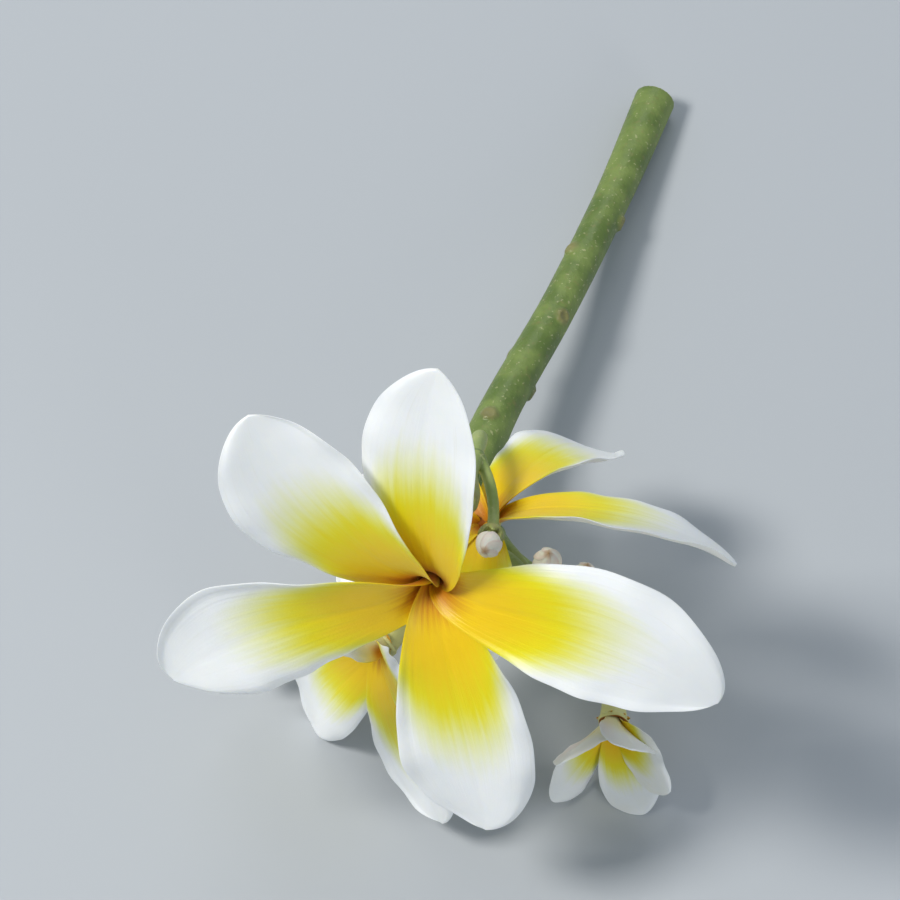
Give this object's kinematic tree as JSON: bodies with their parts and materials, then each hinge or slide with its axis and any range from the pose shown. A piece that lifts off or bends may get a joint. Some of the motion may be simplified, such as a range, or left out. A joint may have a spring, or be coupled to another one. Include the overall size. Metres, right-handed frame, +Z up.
{
  "type": "plumeria flower cluster",
  "caption": "Picked frangipani flower head: open five-petalled blooms and furled buds on a forked green stalk, lying on its side.",
  "frame": {"origin": "on the table top, under the middle of the cluster's footprint", "axes": "+Z up, +Y from the flowers towards the cut end of the stalk, +X to the right of the front bloom as seen from its face"},
  "size_m": [0.089, 0.1502, 0.1084],
  "materials": {
    "petal": "satin",
    "bud": "satin",
    "stem": "satin"
  },
  "bodies": {
    "root": {"flower_stalk": "stem", "bloom_front": "petal", "bloom_right": "petal", "bloom_left": "petal", "bloom_hanging": "petal", "bud_large_left": "bud", "bud_large_right": "bud", "bud_small_top_1": "bud", "bud_small_top_2": "bud", "bud_small_top_3": "bud", "bud_small_back_1": "bud", "bud_small_back_2": "bud"}
  },
  "joints": []
}
